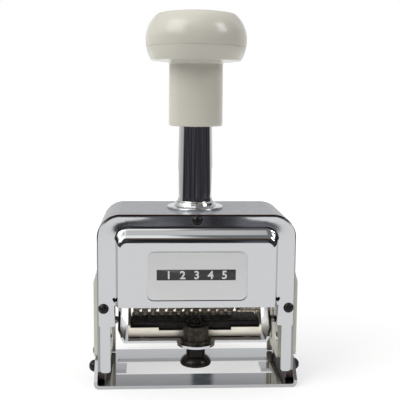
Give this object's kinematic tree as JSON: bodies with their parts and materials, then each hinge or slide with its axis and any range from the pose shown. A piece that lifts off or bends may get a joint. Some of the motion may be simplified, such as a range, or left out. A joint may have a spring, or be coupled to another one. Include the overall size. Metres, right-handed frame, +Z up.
{
  "type": "numbering machine",
  "caption": "Hand numbering stamp: a sprung push knob on a guide tube lowers a stack of type wheels through a base window while the ink pad swings forward out of the way.",
  "frame": {"origin": "middle of the footprint, on the plane that the base rests on", "axes": "+Z up along the plunger, -Y towards the front cover and the ink pad latch, +X to the right seen from the front"},
  "size_m": [0.0866, 0.0468, 0.1484],
  "materials": {
    "chrome_sheet": "polished plated steel sheet",
    "chrome_turned": "polished plated turned steel",
    "satin_casting": "satin plated casting",
    "nickel_sheet": "bright nickel-plated sheet with a warm tone",
    "zinc_steel": "bright plain steel",
    "dark_steel": "dark browned steel",
    "spring_steel": "drawn spring wire and strip",
    "type_metal": "engraved type metal, inked on its faces",
    "brass_stock": "plain brass",
    "black_steel": "blackened steel",
    "black_plastic": "gloss black moulding",
    "cream_plastic": "gloss cream moulding",
    "plate_metal": "satin printed plate, left bare",
    "stop_rubber": "black rubber",
    "inked_felt": "felt soaked with black ink"
  },
  "bodies": {
    "casing": {"base_bracket": "chrome_sheet", "base_screws": "black_steel", "housing_frame": "satin_casting", "guide_tube": "chrome_turned", "tube_nut": "zinc_steel", "front_cover": "chrome_sheet", "rear_cover": "chrome_sheet", "front_cover_screws": "black_steel", "rear_cover_screws": "black_steel", "number_plate": "plate_metal", "side_cover_left": "cream_plastic", "side_cover_right": "cream_plastic", "cam_plate_left": "zinc_steel", "cam_plate_right": "zinc_steel", "cam_plate_rivets": "zinc_steel", "return_spring": "spring_steel"},
    "plunger": {"knob_cap": "cream_plastic", "knob_sleeve": "cream_plastic", "plunger_rod": "zinc_steel", "rod_nut": "zinc_steel", "stop_washer": "stop_rubber", "carriage": "nickel_sheet", "wheel_axle": "zinc_steel", "axle_washers": "zinc_steel", "selector_hub": "dark_steel", "detent_bar": "zinc_steel", "detent_springs": "spring_steel", "pawl_shaft": "zinc_steel"},
    "pawl_arm": {"pawl_rocker": "brass_stock"},
    "pad_frame": {"pad_bracket": "chrome_sheet", "follower_pins": "zinc_steel", "pad_tray": "nickel_sheet", "ink_pad": "inked_felt", "latch_sleeve": "dark_steel", "latch_keeper": "black_steel", "latch_spring": "spring_steel"},
    "pad_latch": {"latch_shaft": "black_steel", "latch_knob": "black_plastic"},
    "repeat_dial": {"selector_dial": "black_plastic", "dial_spindle": "zinc_steel"},
    "type_wheel_1": {"number_wheel_1": "type_metal"},
    "type_wheel_2": {"number_wheel_2": "type_metal"},
    "type_wheel_3": {"number_wheel_3": "type_metal"},
    "type_wheel_4": {"number_wheel_4": "type_metal"},
    "type_wheel_5": {"number_wheel_5": "type_metal"},
    "type_wheel_6": {"number_wheel_6": "type_metal"},
    "type_wheel_7": {"number_wheel_7": "type_metal"},
    "type_wheel_8": {"number_wheel_8": "type_metal"},
    "type_wheel_9": {"number_wheel_9": "type_metal"},
    "type_wheel_10": {"number_wheel_10": "type_metal"},
    "type_wheel_11": {"number_wheel_11": "type_metal"},
    "type_wheel_12": {"number_wheel_12": "type_metal"}
  },
  "joints": [
    {"name": "handle_press", "type": "slide", "parent": "casing", "child": "plunger", "axis": [0, 0, -1], "range_m": [0, 0.024], "stiffness_N_per_m": 500, "springref_m": -0.02, "deforming": ["return_spring"]},
    {"name": "pad_swing", "type": "hinge", "parent": "plunger", "child": "pad_frame", "pos_m": [0, 0, 0.035], "axis": [-1, 0, 0], "range_deg": [0, 90]},
    {"name": "pawl_rock", "type": "hinge", "parent": "plunger", "child": "pawl_arm", "pos_m": [0, 0.013, 0.044], "axis": [1, 0, 0], "range_deg": [0, 12]},
    {"name": "latch_pull", "type": "slide", "parent": "pad_frame", "child": "pad_latch", "axis": [0, 0, -1], "range_m": [0, 0.0025], "stiffness_N_per_m": 300, "springref_m": -0.004, "deforming": ["latch_spring"]},
    {"name": "dial_turn", "type": "hinge", "parent": "casing", "child": "repeat_dial", "pos_m": [0, 0, 0.026], "axis": [1, 0, 0], "range_deg": [0, 270]},
    {"name": "wheel_spin_1", "type": "hinge", "parent": "plunger", "child": "type_wheel_1", "pos_m": [0, 0, 0.035], "axis": [1, 0, 0], "continuous": true},
    {"name": "wheel_spin_2", "type": "hinge", "parent": "plunger", "child": "type_wheel_2", "pos_m": [0, 0, 0.035], "axis": [1, 0, 0], "continuous": true},
    {"name": "wheel_spin_3", "type": "hinge", "parent": "plunger", "child": "type_wheel_3", "pos_m": [0, 0, 0.035], "axis": [1, 0, 0], "continuous": true},
    {"name": "wheel_spin_4", "type": "hinge", "parent": "plunger", "child": "type_wheel_4", "pos_m": [0, 0, 0.035], "axis": [1, 0, 0], "continuous": true},
    {"name": "wheel_spin_5", "type": "hinge", "parent": "plunger", "child": "type_wheel_5", "pos_m": [0, 0, 0.035], "axis": [1, 0, 0], "continuous": true},
    {"name": "wheel_spin_6", "type": "hinge", "parent": "plunger", "child": "type_wheel_6", "pos_m": [0, 0, 0.035], "axis": [1, 0, 0], "continuous": true},
    {"name": "wheel_spin_7", "type": "hinge", "parent": "plunger", "child": "type_wheel_7", "pos_m": [0, 0, 0.035], "axis": [1, 0, 0], "continuous": true},
    {"name": "wheel_spin_8", "type": "hinge", "parent": "plunger", "child": "type_wheel_8", "pos_m": [0, 0, 0.035], "axis": [1, 0, 0], "continuous": true},
    {"name": "wheel_spin_9", "type": "hinge", "parent": "plunger", "child": "type_wheel_9", "pos_m": [0, 0, 0.035], "axis": [1, 0, 0], "continuous": true},
    {"name": "wheel_spin_10", "type": "hinge", "parent": "plunger", "child": "type_wheel_10", "pos_m": [0, 0, 0.035], "axis": [1, 0, 0], "continuous": true},
    {"name": "wheel_spin_11", "type": "hinge", "parent": "plunger", "child": "type_wheel_11", "pos_m": [0, 0, 0.035], "axis": [1, 0, 0], "continuous": true},
    {"name": "wheel_spin_12", "type": "hinge", "parent": "plunger", "child": "type_wheel_12", "pos_m": [0, 0, 0.035], "axis": [1, 0, 0], "continuous": true}
  ],
  "couplings": [
    {"joint": "pad_swing", "follows": "handle_press", "rad_per_m": 65.45},
    {"joint": "pawl_rock", "follows": "handle_press", "rad_per_m": 8.7266}
  ]
}
